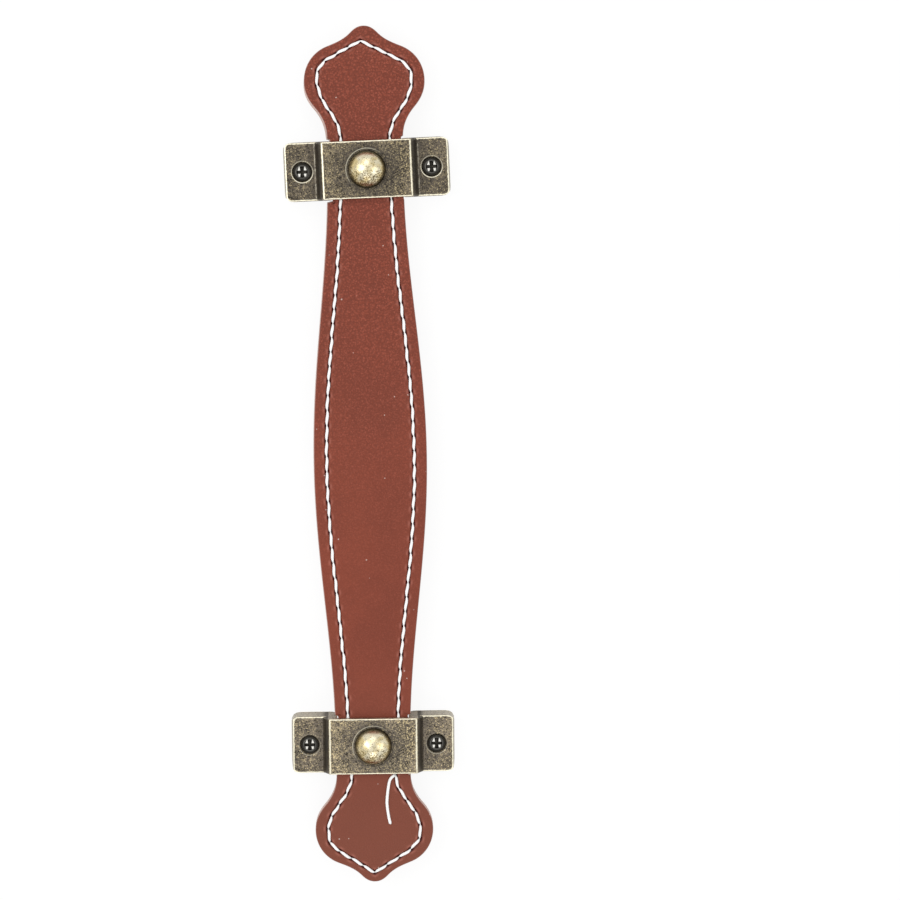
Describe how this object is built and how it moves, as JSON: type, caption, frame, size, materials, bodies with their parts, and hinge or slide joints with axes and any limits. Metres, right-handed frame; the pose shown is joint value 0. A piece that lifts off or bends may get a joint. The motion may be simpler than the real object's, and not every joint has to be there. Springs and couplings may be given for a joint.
{
  "type": "leather cabinet pull",
  "caption": "Sewn leather strap handle with shaped ends, carried by two cast metal brackets with domed studs.",
  "frame": {"origin": "midway between the two mounting posts, on the mounting plane of the bracket rims", "axes": "+Y along the strap towards its top tip, +Z away from the door, +X to the right seen from the front"},
  "size_m": [0.0464, 0.2378, 0.0141],
  "materials": {
    "leather": "oiled pebble grain",
    "white_thread": "waxed thread",
    "tan_thread": "waxed thread",
    "antique_brass": "antiqued, worn bright at the edges",
    "polished_brass": "rubbed, softly polished",
    "blackened_steel": "blackened"
  },
  "bodies": {
    "root": {"front_leather": "leather", "back_leather": "leather", "needle_thread": "white_thread", "bobbin_thread": "tan_thread", "top_bracket": "antique_brass", "top_dome_stud": "polished_brass", "top_back_ring": "antique_brass", "top_left_screw": "blackened_steel", "top_right_screw": "blackened_steel", "bottom_bracket": "antique_brass", "bottom_dome_stud": "polished_brass", "bottom_back_ring": "antique_brass", "bottom_left_screw": "blackened_steel", "bottom_right_screw": "blackened_steel"}
  },
  "joints": []
}
